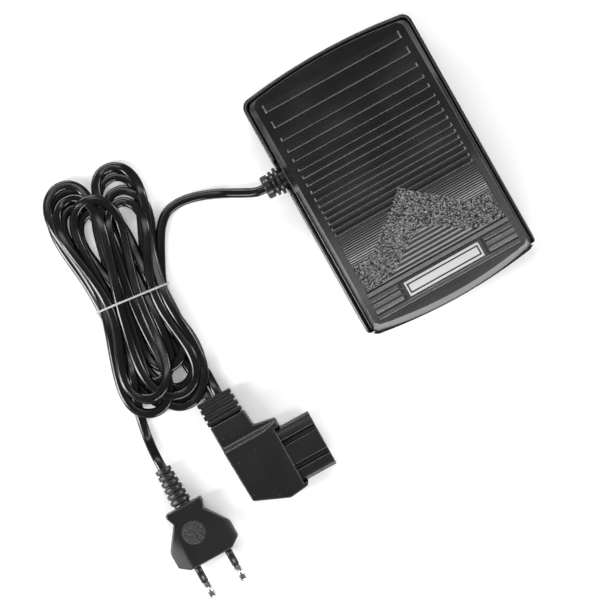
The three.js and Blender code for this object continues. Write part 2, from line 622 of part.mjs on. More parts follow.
function connectorBody() {
  const plan = polygon([
    [CONNECTOR.faceX, 82.6], [126.3, 80.4], [127, CONNECTOR.heel], [147.2, CONNECTOR.heel], [147, 84],
    [CONNECTOR.backX - 0.8, 115.4], [127.3, CONNECTOR.toe], [116.4, 122.2],
    [CONNECTOR.faceX, 119.2]].reverse());
  const side = polygon([
    [0, 60], [0, 130], [CONNECTOR.top, 130], [CONNECTOR.top, CONNECTOR.step + 1.4],
    [CONNECTOR.neckTop, CONNECTOR.step - 0.6], [CONNECTOR.neckTop, 60]].map(([z, y]) => [y, z]));
  const slope = polygon([
    [CONNECTOR.faceX - 2, CONNECTOR.top - 3.4], [123.4, CONNECTOR.top],
    [CONNECTOR.faceX - 2, CONNECTOR.top + 2]]
    .map(([x, z]) => [z, x]));
  const pocket = block(CONNECTOR.faceX - 2, CONNECTOR.faceX + 4, SOCKET.heel - GAP, SOCKET.toe + GAP,
    SOCKET.low - GAP, SOCKET.high + GAP);
  const body = extruded(plan, 0, CONNECTOR.top).intersect(extruded(side, 100, 160, ALONG_X));
  return cutBy(body, extruded(slope, 60, 130, ALONG_Y), pocket);
}

function connectorStrainRelief() {
  const ribs = [];
  for (let i = 0; i < 4; i += 1) {
    const from = 57.2 + 3.6 * i;
    ribs.push(block(128 - 0.2 * i, 147.6, from, from + 2.4, 1, 11.2 + 0.3 * i));
  }
  return joined(block(129, 146.6, 57.6, 70.7, 1.8, 10.4), ...ribs);
}

function socketInsert() {
  const high = SOCKET.high;
  const low = SOCKET.low;
  const lobe = high - 1.1;
  const dip = high - 3;
  const middle = SOCKET_MIDDLE;
  const half = (SOCKET.toe - SOCKET.heel) / 2;
  const quarter = [[0, high], [5.6, high], [5.9, dip], [8, dip], [8.8, lobe], [half - 3, lobe],
    [half - 0.9, lobe - 0.9], [half, lobe - 3]];
  const upper = [...quarter.slice(1).map(([y, z]) => [middle - y, z]).reverse(),
    ...quarter.slice(1).map(([y, z]) => [middle + y, z])];
  const lower = upper.map(([y, z]) => [y, low + high - z]).reverse();
  const nose = extruded(polygon([...upper, ...lower]), SOCKET.tipX, CONNECTOR.faceX + 3.6, ALONG_X);
  const holes = [-1, 0, 1].map((i) =>
    bar(2.6, SOCKET.tipX - 1, SOCKET.tipX + 14, ALONG_X, middle + CONTACT_PITCH * i, (low + high) / 2, 20));
  return cutBy(nose, ...holes);
}

function contactSleeve(i) {
  const y = SOCKET_MIDDLE + CONTACT_PITCH * i;
  const z = (SOCKET.low + SOCKET.high) / 2;
  const tube = bar(2.3, SOCKET.tipX + 1.6, SOCKET.tipX + 13.7, ALONG_X, y, z, 16);
  return tube.subtract(bar(1.6, SOCKET.tipX, SOCKET.tipX + 11.5, ALONG_X, y, z, 12));
}

// ---------------------------------------------------------------- mains plug
const PLUG = { x: 179.8, z: 6.85, halfWidth: 18, heel: 99.6, toe: 131.5, pinPitch: 18.6, pinTip: 150.5 };

function plugBody() {
  const x = PLUG.x;
  const half = [[10.4, PLUG.heel], [10.8, PLUG.heel + 1.6], [8.9, PLUG.heel + 6.4], [17.4, 117.6],
    [PLUG.halfWidth, 119], [PLUG.halfWidth, 127.6], [12.4, PLUG.toe]];
  const plan = polygon([
    ...half.map(([dx, y]) => [x + dx, y]), ...half.map(([dx, y]) => [x - dx, y]).reverse()]);
  const thick = 13.7;
  const section = [[-PLUG.halfWidth - 1, 3.6], [-9.6, 0], [9.6, 0], [PLUG.halfWidth + 1, 3.6],
    [PLUG.halfWidth + 1, thick - 3.6], [9.6, thick], [-9.6, thick], [-PLUG.halfWidth - 1, thick - 3.6]];
  const cross = polygon(section.map(([dx, z]) => [z, x + dx]).reverse());
  const pinSeats = [-1, 1].map((side) =>
    bar(2.3, PLUG.toe - 4, PLUG.toe + 2, ALONG_Y, PLUG.z, x + side * PLUG.pinPitch / 2, 16));
  return cutBy(extruded(plan, 0, thick).intersect(extruded(cross, 90, 140, ALONG_Y)), ...pinSeats);
}

function plugStrainRelief() {
  const profile = [[0, 77.4]];
  const ribs = 6;
  const pitch = 3.6;
  for (let i = 0; i < ribs; i += 1) {
    const start = 77.4 + pitch * i;
    const outer = 4.5 + 0.22 * i;
    profile.push([outer, start], [outer, start + 2.3],
      [outer - 1, start + 2.5], [outer - 1, start + pitch - 0.2]);
  }
  profile.push([4.8, 99.3], [0, 99.3]);
  return turned(profile, ALONG_Y, new THREE.Vector3(PLUG.x, 0, PLUG.z), 20);
}

function plugPin(side) {
  const x = PLUG.x + side * PLUG.pinPitch / 2;
  return turned([[0, PLUG.toe - 3.6], [1.4, PLUG.toe - 3.6], [1.4, PLUG.toe + 9.6], [2, PLUG.toe + 10],
    [2, PLUG.pinTip - 1.4], [1.4, PLUG.pinTip - 0.4], [0.7, PLUG.pinTip], [0, PLUG.pinTip]], ALONG_Y,
  new THREE.Vector3(x, 0, PLUG.z), 16);
}

function pinSleeve(side) {
  const x = PLUG.x + side * PLUG.pinPitch / 2;
  const from = PLUG.toe - 3.6;
  const to = PLUG.toe + 9.3;
  return turned([[1.7, from], [1.95, from], [1.95, to], [1.7, to], [1.7, from]], ALONG_Y,
    new THREE.Vector3(x, 0, PLUG.z), 16);
}

// ---------------------------------------------------------------- assembly
const footControl = new THREE.Group();
const tray = new THREE.Group();
const tread = new THREE.Group();
const cordSet = new THREE.Group();
footControl.add(tray, tread, cordSet);

function add(group, name, piece, material, place) {
  const mesh = new THREE.Mesh(geometryOf(piece), material);
  mesh.name = name;
  if (place) {
    mesh.position.set(...place);
  }
  group.add(mesh);
}

add(tray, 'base_tray', baseTray(), blackPlastic);
add(tray, 'hinge_rod', bar(HINGE_ROD_RADIUS, -41, 41, ALONG_X, HINGE_Y, HINGE_Z, 16), steel);
FOOT_PLACES.forEach(([x, y], i) => add(tray, `rubber_foot_${i + 1}`, rubberFoot(), blackRubber, [x, y, 0]));
SPRING_PLACES.forEach(([x, y], i) => add(tray, `return_spring_${i + 1}`, returnSpring(x, y), steel));
add(tray, 'circuit_board', circuitBoard(), boardBrown);
BOARD_POSTS.forEach(([x, y], i) => add(tray, `board_screw_${i + 1}`,
  screw(2.6, 1.7, 1.1, 4.6, ALONG_Z, new THREE.Vector3(x, y, BOARD_TOP + 0.05)), steel));
add(tray, 'slide_potentiometer', slidePotentiometer(), phenolic);
add(tray, 'heat_sink', heatSink(), aluminium);
add(tray, 'triac', triac(), phenolic);
add(tray, 'suppression_capacitor', filmCapacitor(), capacitorYellow);
add(tray, 'choke_core', chokeCore(), ferrite);
add(tray, 'choke_winding', chokeWinding(), copper);
add(tray, 'power_resistor', powerResistor(), ceramic);
add(tray, 'timing_capacitor', timingCapacitor(), capacitorBlue);
add(tray, 'lead_clamp', leadClamp(), blackPlastic);
CLAMP_POSTS.forEach(([x, y], i) => add(tray, `clamp_screw_${i + 1}`,
  screw(2.6, 1.7, 1.1, 6, ALONG_Z, new THREE.Vector3(x, y, 14.85)), steel));
add(tray, 'inner_lead_end', leadTube([
  [39.2, ENTRY_Y, ENTRY_Z], [34, ENTRY_Y, ENTRY_Z], [27.6, ENTRY_Y, ENTRY_Z]], 4), blackLead);
[[leadBrown, 'lead_wire_brown', -1.2, -23.6], [leadBlue, 'lead_wire_blue', 1.2, -18]].forEach(
  ([material, name, dy, landing]) => add(tray, name, leadTube([
    [27.2, ENTRY_Y + dy, ENTRY_Z], [26.3, ENTRY_Y + dy, ENTRY_Z + 0.2],
    [24.4, (ENTRY_Y + dy + landing) / 2, ENTRY_Z + 3], [22.8, landing - 0.6, ENTRY_Z + 2.6],
    [22.6, landing, BOARD_TOP + 0.9]], 12, 1.7, 1.7, 8), material));

add(tread, 'tread_cover', treadCover(), blackPlastic);
add(tread, 'badge_plate', badgePlate(), silverPlate);
add(tread, 'wiper_slider', wiperSlider(), phenolic);

add(cordSet, 'pedal_strain_relief', pedalStrainRelief(), blackRubber);
add(cordSet, 'lead_pedal_run', leadTube(PEDAL_RUN, 24), blackLead);
add(cordSet, 'lead_hank', cordHank(), blackLead);
add(cordSet, 'hank_tie', hankTie(), tieWhite);
CONNECTOR_RUNS.forEach((points, i) =>
  add(cordSet, `lead_connector_run_${i + 1}`, leadTube(points, 5), blackLead));
add(cordSet, 'lead_plug_run', leadTube(PLUG_RUN, 10), blackLead);
add(cordSet, 'connector_body', connectorBody(), blackPlastic);
add(cordSet, 'connector_strain_relief', connectorStrainRelief(), blackRubber);
add(cordSet, 'socket_insert', socketInsert(), blackPlastic);
[-1, 0, 1].forEach((i) => add(cordSet, `contact_sleeve_${i + 2}`, contactSleeve(i), brass));
add(cordSet, 'plug_body', plugBody(), blackPlastic);
add(cordSet, 'plug_strain_relief', plugStrainRelief(), blackRubber);
[-1, 1].forEach((side, i) => {
  add(cordSet, `plug_pin_${i + 1}`, plugPin(side), nickel);
  add(cordSet, `pin_sleeve_${i + 1}`, pinSleeve(side), blackPlastic);
});

export default footControl;
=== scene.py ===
"""Foot control for a sewing machine: pedal, two flat leads in a tied hank, machine connector, mains plug.

Metres.  +Y runs from the heel to the toe of the pedal and +X is the side where the lead comes out.
"""

import math

import bmesh
import bpy
import numpy as np
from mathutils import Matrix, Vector


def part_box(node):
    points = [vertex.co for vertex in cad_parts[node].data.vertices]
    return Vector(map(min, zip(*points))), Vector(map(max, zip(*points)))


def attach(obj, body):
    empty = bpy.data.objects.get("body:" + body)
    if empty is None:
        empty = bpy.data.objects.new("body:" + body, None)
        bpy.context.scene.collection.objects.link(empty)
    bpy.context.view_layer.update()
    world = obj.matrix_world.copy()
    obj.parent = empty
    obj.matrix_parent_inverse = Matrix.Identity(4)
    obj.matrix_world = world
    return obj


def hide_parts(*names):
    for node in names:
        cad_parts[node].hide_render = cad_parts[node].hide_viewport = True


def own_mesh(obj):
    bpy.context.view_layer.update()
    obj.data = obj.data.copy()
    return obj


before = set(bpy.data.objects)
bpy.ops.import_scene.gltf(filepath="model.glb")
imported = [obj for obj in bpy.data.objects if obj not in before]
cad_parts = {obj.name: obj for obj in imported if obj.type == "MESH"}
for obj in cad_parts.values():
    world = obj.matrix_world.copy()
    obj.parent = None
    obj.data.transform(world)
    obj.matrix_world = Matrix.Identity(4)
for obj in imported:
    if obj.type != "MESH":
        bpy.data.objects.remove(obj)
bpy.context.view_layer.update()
scene = bpy.context.scene
MM = 0.001


# ------------------------------------------------------------------ camera
# The view is straight down on the floor from 1.4 m, turned so that the pedal's toe points down and left.
CAMERA_HEIGHT = 1.4
CAMERA_OVER = (0.0727, 0.0349)
CAMERA_TURN = 150.85
CAMERA_LENS = 157.9

camera = bpy.data.objects.new("camera", bpy.data.cameras.new("camera"))
scene.collection.objects.link(camera)
camera.location = (*CAMERA_OVER, CAMERA_HEIGHT)
camera.rotation_euler = (0, 0, math.radians(CAMERA_TURN))
camera.data.sensor_width = 36
camera.data.lens = CAMERA_LENS
camera.data.clip_start = 0.05
scene.camera = camera


# ------------------------------------------------------------------ studio
# A white table with low strip lights on all four sides, which draw the edges, and a soft one above the heel.
scene.view_settings.view_transform = "Standard"

world = bpy.data.worlds.new("studio")
scene.world = world
world.use_nodes = True
world.node_tree.nodes["Background"].inputs["Color"].default_value = (1, 1, 1, 1)
world.node_tree.nodes["Background"].inputs["Strength"].default_value = 0.16


def softbox(name, place, aim, size, power):
    lamp = bpy.data.lights.new(name, "AREA")
    lamp.shape = "RECTANGLE"
    lamp.size, lamp.size_y = size
    lamp.energy = power
    holder = bpy.data.objects.new(name, lamp)
    scene.collection.objects.link(holder)
    holder.location = place
    holder.rotation_euler = (Vector(aim) - Vector(place)).to_track_quat("-Z", "Y").to_euler()
    return holder


softbox("over_heel", (-0.03, -0.33, 1.55), (0.05, 0.0, 0.0), (1.0, 0.2), 2.2)
softbox("lead_side", (1.3, -0.05, 0.66), (0.06, 0.0, 0.0), (0.24, 1.3), 20)
softbox("far_side", (-1.3, 0.1, 0.66), (0.06, 0.0, 0.0), (0.2, 1.3), 10)
softbox("heel_end", (0.1, -1.35, 0.66), (0.06, 0.0, 0.0), (1.3, 0.22), 16)
softbox("toe_end", (0.1, 1.4, 0.7), (0.06, 0.0, 0.0), (1.3, 0.24), 21)


def shader(name, colour, roughness, metallic=0.0):
    """A new material's node tree and its Principled node, with its plain values set."""
    material = bpy.data.materials.new(name)
    material.use_nodes = True
    tree = material.node_tree
    skin = tree.nodes["Principled BSDF"]
    skin.inputs["Base Color"].default_value = (*colour, 1)
    skin.inputs["Roughness"].default_value = roughness
    skin.inputs["Metallic"].default_value = metallic
    return material, tree, skin


def table_white():
    """White paper that glows a little to the camera, so that it stays white out to the edges."""
    material, tree, skin = shader("table_white", (0.86, 0.86, 0.86), 0.9)
    skin.inputs["Specular IOR Level"].default_value = 0.1
    glow = tree.nodes.new("ShaderNodeEmission")
    both = tree.nodes.new("ShaderNodeAddShader")
    path = tree.nodes.new("ShaderNodeLightPath")
    only_seen = tree.nodes.new("ShaderNodeMath")
    only_seen.operation = "MULTIPLY"
    only_seen.inputs[1].default_value = TABLE_GLOW
    tree.links.new(path.outputs["Is Camera Ray"], only_seen.inputs[0])
    tree.links.new(only_seen.outputs[0], glow.inputs["Strength"])
    tree.links.new(skin.outputs[0], both.inputs[0])
    tree.links.new(glow.outputs[0], both.inputs[1])
    tree.links.new(both.outputs[0], tree.nodes["Material Output"].inputs["Surface"])
    return material


TABLE_GLOW = 0.2
table_half = 3.0
table_mesh = bpy.data.meshes.new("table")
table_mesh.from_pydata([(-table_half, -table_half, 0), (table_half, -table_half, 0),
                        (table_half, table_half, 0), (-table_half, table_half, 0)], [], [(0, 1, 2, 3)])
table = bpy.data.objects.new("table", table_mesh)
scene.collection.objects.link(table)
table.location.z = -0.0001
table.data.materials.append(table_white())


# ------------------------------------------------------------------ finishes shared by several pieces
# Injection-moulded and drawn surfaces are never quite even: a fine grain, a slow drift of gloss where
# hands and dust have been, and faint drawn streaks.
def uneven_surface_group():
    group = bpy.data.node_groups.new("uneven_surface", "ShaderNodeTree")
    sockets = group.interface
    sockets.new_socket("Grain Scale", in_out="INPUT", socket_type="NodeSocketFloat")
    sockets.new_socket("Drift Scale", in_out="INPUT", socket_type="NodeSocketFloat")
    sockets.new_socket("Streak Stretch", in_out="INPUT", socket_type="NodeSocketVector")
    for name in ("Grain", "Drift", "Streak"):
        sockets.new_socket(name, in_out="OUTPUT", socket_type="NodeSocketFloat")
    inside = group.nodes.new("NodeGroupInput")
    outside = group.nodes.new("NodeGroupOutput")
    place = group.nodes.new("ShaderNodeTexCoord")
    stretch = group.nodes.new("ShaderNodeVectorMath")
    stretch.operation = "MULTIPLY"
    group.links.new(place.outputs["Object"], stretch.inputs[0])
    group.links.new(inside.outputs["Streak Stretch"], stretch.inputs[1])
    for name, source, scale, detail in (("Grain", place.outputs["Object"], "Grain Scale", 4),
                                        ("Drift", place.outputs["Object"], "Drift Scale", 3),
                                        ("Streak", stretch.outputs[0], None, 3)):
        noise = group.nodes.new("ShaderNodeTexNoise")
        noise.inputs["Detail"].default_value = detail
        group.links.new(source, noise.inputs["Vector"])
        if scale:
            group.links.new(inside.outputs[scale], noise.inputs["Scale"])
        else:
            noise.inputs["Scale"].default_value = 1
        group.links.new(noise.outputs["Fac"], outside.inputs[name])
    return group


uneven_surface = uneven_surface_group()


def finish(name, colour, worn, gloss, metallic=0.0, grain=1500, drift=35, streak=(300, 300, 300),
           grain_depth=0.25, streak_depth=0.0, highlight_grey=None):
    """A surface that drifts from colour to worn, and in roughness between gloss's two values."""
    material, tree, skin = shader(name, colour, gloss[0], metallic)
    uneven = tree.nodes.new("ShaderNodeGroup")
    uneven.node_tree = uneven_surface
    uneven.inputs["Grain Scale"].default_value = grain
    uneven.inputs["Drift Scale"].default_value = drift
    uneven.inputs["Streak Stretch"].default_value = streak
    tint = tree.nodes.new("ShaderNodeMix")
    tint.data_type = "RGBA"
    tint.inputs["A"].default_value = (*colour, 1)
    tint.inputs["B"].default_value = (*worn, 1)
    tree.links.new(uneven.outputs["Drift"], tint.inputs["Factor"])
    tree.links.new(tint.outputs["Result"], skin.inputs["Base Color"])
    dull = tree.nodes.new("ShaderNodeMapRange")
    dull.inputs["From Min"].default_value = 0.3
    dull.inputs["From Max"].default_value = 0.7
    dull.inputs["To Min"].default_value = gloss[0]
    dull.inputs["To Max"].default_value = gloss[1]
    tree.links.new(uneven.outputs["Streak" if streak_depth else "Drift"], dull.inputs["Value"])
    tree.links.new(dull.outputs["Result"], skin.inputs["Roughness"])
    height = tree.nodes.new("ShaderNodeMath")
    height.operation = "MULTIPLY_ADD"
    height.inputs[1].default_value = streak_depth
    tree.links.new(uneven.outputs["Streak"], height.inputs[0])
    scaled = tree.nodes.new("ShaderNodeMath")
    scaled.operation = "MULTIPLY"
    scaled.inputs[1].default_value = grain_depth
    tree.links.new(uneven.outputs["Grain"], scaled.inputs[0])
    tree.links.new(scaled.outputs[0], height.inputs[2])
    bump = tree.nodes.new("ShaderNodeBump")
    bump.inputs["Strength"].default_value = 1
    bump.inputs["Distance"].default_value = 0.1 * MM
    tree.links.new(height.outputs[0], bump.inputs["Height"])
    tree.links.new(bump.outputs["Normal"], skin.inputs["Normal"])
    # Painted highlight: a light grey mixed into the colour where the mesh's attribute gives it, standing in for light
    # caught on crests, ribs and grain.
    if highlight_grey:
        highlit = tree.nodes.new("ShaderNodeMix")
        highlit.data_type = "RGBA"
        highlit.inputs["B"].default_value = (*highlight_grey, 1)
        amount = tree.nodes.new("ShaderNodeAttribute")
        amount.attribute_name = "painted_highlight"
        tree.links.new(amount.outputs["Fac"], highlit.inputs["Factor"])
        tree.links.new(tint.outputs["Result"], highlit.inputs["A"])
        tree.links.new(highlit.outputs["Result"], skin.inputs["Base Color"])
    return material


satin_plastic = finish("satin_black_plastic", (0.003, 0.003, 0.0035), (0.009, 0.009, 0.01), (0.17, 0.27),
                       grain_depth=0.08)
matt_plastic = finish("matt_black_plastic", (0.005, 0.005, 0.0055), (0.011, 0.011, 0.012), (0.26, 0.36),
                      grain=1900, grain_depth=0.16)
black_rubber = finish("black_rubber", (0.006, 0.006, 0.0065), (0.014, 0.014, 0.015), (0.4, 0.55),
                      grain=1300, grain_depth=0.3)
lead_sheath = finish("lead_sheath", (0.002, 0.002, 0.0025), (0.006, 0.006, 0.0065), (0.13, 0.22),
                     drift=60, grain=900, grain_depth=0.04)
zinc_steel = finish("zinc_steel", (0.46, 0.47, 0.48), (0.6, 0.61, 0.62), (0.25, 0.42), metallic=1.0,
                    streak=(900, 90, 90), grain_depth=0.1, streak_depth=0.2)
bright_nickel = finish("bright_nickel", (0.62, 0.6, 0.56), (0.74, 0.72, 0.68), (0.14, 0.28), metallic=1.0,
                       streak=(2600, 120, 2600), grain_depth=0.05, streak_depth=0.25)


def wear(finish_of_piece, *names):
    """Gives the named CAD nodes a finish."""
    for name in names:
        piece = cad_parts[name]
        piece.data.materials.clear()
        piece.data.materials.append(finish_of_piece)


def soften_edges(radius, *names, segments=2, angle=28, clamp=False):
    """Rounds the moulded edges of CAD nodes, as a draft tool leaves them, and shades round parts round."""
    for name in names:
        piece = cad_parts[name]
        mesh = piece.data
        if "custom_normal" in mesh.attributes:
            mesh.attributes.remove(mesh.attributes["custom_normal"])
        mesh.shade_smooth()
        weld = piece.modifiers.new("weld", "WELD")
        weld.merge_threshold = 0.002 * MM
        flat = piece.modifiers.new("flats", "DECIMATE")
        flat.decimate_type = "DISSOLVE"
        flat.angle_limit = math.radians(1.2)
        if radius:
            bevel = piece.modifiers.new("edge_radius", "BEVEL")
            bevel.width = radius
            bevel.segments = segments
            bevel.limit_method = "ANGLE"
            bevel.angle_limit = math.radians(angle)
            bevel.use_clamp_overlap = clamp
            bevel.harden_normals = clamp
            if not clamp:
                even = piece.modifiers.new("face_normals", "WEIGHTED_NORMAL")
                even.keep_sharp = True


def solid_piece(name, vertices, faces, body, material, smooth=False):
    """A new piece from its vertices and faces, riding on a CAD body."""
    mesh = bpy.data.meshes.new(name)
    mesh.from_pydata([tuple(v) for v in vertices], [], faces)
    shell = bmesh.new()
    shell.from_mesh(mesh)
    bmesh.ops.recalc_face_normals(shell, faces=shell.faces)
    shell.to_mesh(mesh)
    shell.free()
    if smooth:
        mesh.shade_smooth()
        mesh.set_sharp_from_angle(angle=math.radians(38))
    piece = bpy.data.objects.new(name, mesh)
    scene.collection.objects.link(piece)
    piece.data.materials.append(material)
    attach(piece, body)
    return piece


# ------------------------------------------------------------------ leads and hank
# Two flat twin leads with a grooved black PVC sheath, 5.2 by 3.3 mm.  One runs from the pedal to the
# machine connector, the other from the connector to the mains plug.  They are folded to and fro
# together into a flat hank, pinched at the waist by a wire tie.
LEAD_WIDTH = 5.2 * MM
LEAD_THICKNESS = 3.3 * MM
LEAD_REST = LEAD_THICKNESS / 2
HANK_WAIST = Vector((149, -9.2)) * MM
HANK_LEAN = math.atan2(0.115, 0.993)
STEP = 3 * MM

PEDAL_RUN = [
    (58.5, -25.5, 10.5), (60.9, -25.5, 10.5), (62.6, -25.6, 10.5), (65.6, -26.3, 9.9), (70.5, -28.8, 7.2),
    (76, -32, 4), (82, -35.4, 2.2), (89, -38.5, 1.8), (97, -41.2, 1.8), (106, -42.4, 1.8), (113.6, -42, 1.8)]
CONNECTOR_RUNS = [
    [(134.6, 45.6, 3.4), (134.8, 50, 4.8), (135, 55, 5.8), (135, 58.5, 5.8)],
    [(141, 58.5, 5.8), (141, 55.4, 5.8), (140.9, 53.4, 5.4), (140.6, 51.4, 4.8)]]
PLUG_RUN = [
    (178.7, 55.2, 1.8), (179, 58.4, 2), (179.4, 64, 3.2), (179.7, 71, 6.1), (179.8, 77.1, 6.85), (179.8, 79, 6.85)]

# Each fold is (end, middle across, furthest along, radius, sense): end -1 at the heel, +1 at the toe;
# sense +1 turns towards the +X side.  The numbers between them are where the lead crosses the waist.  All in millimetres.
PEDAL_LEAD_FOLDS = [
    -13.5, (1, -1, 66, 18.5, 1), 14.5, (-1, 13.6, -72, 13.2, -1), 2, (1, 10, 60, 13.5, 1), 10,
    (-1, -12.6, -70, 13.2, -1), -9.5, (1, -6, 60, 14, 1), 7, (-1, 11.5, -63, 13, 1), 14.5,
    (1, 6, 52, 14, -1), -5, (-1, -13, -62, 12.8, -1), -14, (1, -4, 48, 13.5, 1), 5,
    (-1, 4, -57, 13, -1), -12]
PLUG_LEAD_FOLDS = [
    -3.5, (-1, -13, -75, 13.2, -1), -14.6, (1, -5, 69.5, 15.5, 1), 6.5, (-1, 13.4, -75, 13.4, 1), 14.6,
    (1, 12, 67, 13.5, -1), 1, (-1, -11.5, -56, 12.6, -1), -10, (1, -4, 63, 16, 1), 8,
    (-1, 12.6, -68, 13, 1), 13, (1, 10, 59, 13.5, -1), -1, (-1, 3.5, -63, 13.4, 1), 12]


def in_hank(across, along, height):
    """A place in the hank, from millimetres across and along it, in the row frame."""
    lean_sin, lean_cos = math.sin(HANK_LEAN), math.cos(HANK_LEAN)
    return (HANK_WAIST.x + (along * lean_sin + across * lean_cos) * MM,
            HANK_WAIST.y + (along * lean_cos - across * lean_sin) * MM, height * MM)


def hank_route(folds, first_layer, layer_rise):
    """The points of the folded stretch; each pass starts one layer above the pass before it."""
    points = []
    layer = first_layer
    for item in folds:
        if not isinstance(item, tuple):
            points.append(in_hank(item, 0, layer))
            continue
        end, middle, furthest, radius, sense = item
        heart = furthest - end * (radius + 2.6)
        for degrees in (-90, -45, 0, 45, 90):
            turn = math.radians(degrees)
            lift = layer + layer_rise * (degrees + 90) / 180
            points.append(in_hank(middle + sense * radius * math.sin(turn),
                                  heart + end * radius * math.cos(turn), lift))
        layer += layer_rise
    return points


def smooth_line(points, step):
    """Points a step apart on the centripetal Catmull-Rom curve through the given points."""
    knots = [np.array(p, float) for p in points]
    knots = [2 * knots[0] - knots[1], *knots, 2 * knots[-1] - knots[-2]]
    fine = []
    for a, b, c, d in zip(knots, knots[1:], knots[2:], knots[3:]):
        t1 = np.linalg.norm(b - a) ** 0.5
        t2 = t1 + np.linalg.norm(c - b) ** 0.5
        t3 = t2 + np.linalg.norm(d - c) ** 0.5
        for t in np.linspace(t1, t2, 24, endpoint=False):
            ab = a * (t1 - t) / t1 + b * t / t1
            bc = b * (t2 - t) / (t2 - t1) + c * (t - t1) / (t2 - t1)
            cd = c * (t3 - t) / (t3 - t2) + d * (t - t2) / (t3 - t2)
            abc = ab * (t2 - t) / t2 + bc * t / t2
            bcd = bc * (t3 - t) / (t3 - t1) + cd * (t - t1) / (t3 - t1)
            fine.append(abc * (t2 - t) / (t2 - t1) + bcd * (t - t1) / (t2 - t1))
    fine.append(knots[-2])
    fine = np.array(fine)
    run = np.concatenate([[0], np.cumsum(np.linalg.norm(np.diff(fine, axis=0), axis=1))])
    stations = np.linspace(0, run[-1], max(2, round(run[-1] / step) + 1))
    return np.column_stack([np.interp(stations, run, fine[:, axis]) for axis in range(3)])


def settle(lines, fixed, rounds=900):
    """Lets the folded leads sink onto the table and onto each other, keeping their lengths."""
    flatness = LEAD_WIDTH / LEAD_THICKNESS
    place = np.concatenate(lines) * (1, 1, flatness)
    held = np.concatenate(fixed)
    lead = np.concatenate([np.full(len(line), i) for i, line in enumerate(lines)])
    number = np.arange(len(place))
    planned = place.copy()
    free = (~held).astype(float)
    links = number[:-1][lead[:-1] == lead[1:]]
    rest = np.linalg.norm(planned[links + 1, :2] - planned[links, :2], axis=1)
    rest = np.maximum(rest, STEP * 0.9)
    floor = LEAD_REST * flatness
    sink = 0.16 * MM * flatness
    for count in range(rounds):
        place[:, 2] -= sink * free
        place[:, :2] += (planned[:, :2] - place[:, :2]) * 0.05 * free[:, None]
        if count % 6 == 0:
            gap = place[:, None, :] - place[None, :, :]
            near = np.einsum("ijk,ijk->ij", gap, gap) < (1.8 * LEAD_WIDTH) ** 2
            apart = (np.abs(number[:, None] - number[None, :]) > 5) | (lead[:, None] != lead[None, :])
            first, second = np.nonzero(np.triu(near & apart, 1))
        for _ in range(2):
            away = place[first] - place[second]
            distance = np.maximum(np.linalg.norm(away, axis=1), 1e-6)
            push = np.maximum(LEAD_WIDTH * 0.985 - distance, 0) * 0.5
            away = away / distance[:, None] * push[:, None] * (0.16, 0.16, 1)
            share = np.zeros_like(place)
            hits = np.zeros(len(place))
            np.add.at(share, first, away)
            np.add.at(share, second, -away)
            np.add.at(hits, first, push > 0)
            np.add.at(hits, second, push > 0)
            place += share / np.maximum(hits, 1)[:, None] ** 0.5 * free[:, None]
            stretch = place[links + 1] - place[links]
            length = np.maximum(np.linalg.norm(stretch, axis=1), 1e-9)
            pull = stretch * ((length - rest) / length * 0.5)[:, None]
            place[links] += pull * free[links, None]
            place[links + 1] -= pull * free[links + 1, None]
            inner = links[1:][np.diff(links) == 1]
            bend = (place[inner - 1] + place[inner + 1]) / 2 - place[inner]
            place[inner] += bend * free[inner, None] * (0.22, 0.22, 0.34)
            place[:, 2] = np.where(held, place[:, 2], np.maximum(place[:, 2], floor))
    place = place / (1, 1, flatness)
    return [place[lead == i] for i in range(len(lines))]


def to_metres(points):
    return [tuple(value * MM for value in p) for p in points]


LAYER_RISE = 3.6
pedal_folds = hank_route(PEDAL_LEAD_FOLDS, 1.7, LAYER_RISE)
plug_folds = hank_route(PLUG_LEAD_FOLDS, 1.7 + LAYER_RISE * 10, LAYER_RISE)
pedal_route = [to_metres(PEDAL_RUN), pedal_folds[:], to_metres(CONNECTOR_RUNS[0])]
plug_route = [to_metres(CONNECTOR_RUNS[1]), plug_folds[:], to_metres(PLUG_RUN)]


def lead_line(route):
    """The whole line of one lead, and which of its points lie outside the hank and keep their places."""
    line = smooth_line([p for stretch in route for p in stretch], STEP)
    enters = np.argmin(np.linalg.norm(line - np.array(route[0][-1]), axis=1))
    leaves = np.argmin(np.linalg.norm(line - np.array(route[2][0]), axis=1))
    held = np.ones(len(line), bool)
    held[enters + 1:leaves] = False
    return line, held


pedal_line, pedal_held = lead_line(pedal_route)
plug_line, plug_held = lead_line(plug_route)
pedal_line, plug_line = settle([pedal_line, plug_line], [pedal_held, plug_held])


def evened(line):
    """The line with its last small kinks bent out, as a stiff sheath lies; both ends keep their places."""
    line = line.copy()
    for _ in range(EVENING_ROUNDS):
        pulled = (line[:-4] + 2 * line[1:-3] + 2 * line[3:-1] + line[4:]) / 6
        line[8:-8] += (pulled[6:-6] - line[8:-8]) * 0.5
    return line


EVENING_ROUNDS = 6


def lead_section():
    """The outline of the twin sheath: an oval with a shallow groove along each flat face."""
    outline = []
    for degrees in range(0, 360, 20):
        turn = math.radians(degrees + 10)
        across = LEAD_WIDTH / 2 * math.copysign(abs(math.cos(turn)) ** 0.9, math.cos(turn))
        groove = 1 - 0.2 * math.exp(-(across / (0.5 * MM)) ** 2)
        outline.append((across, LEAD_THICKNESS / 2 * math.sin(turn) * groove))
    return outline


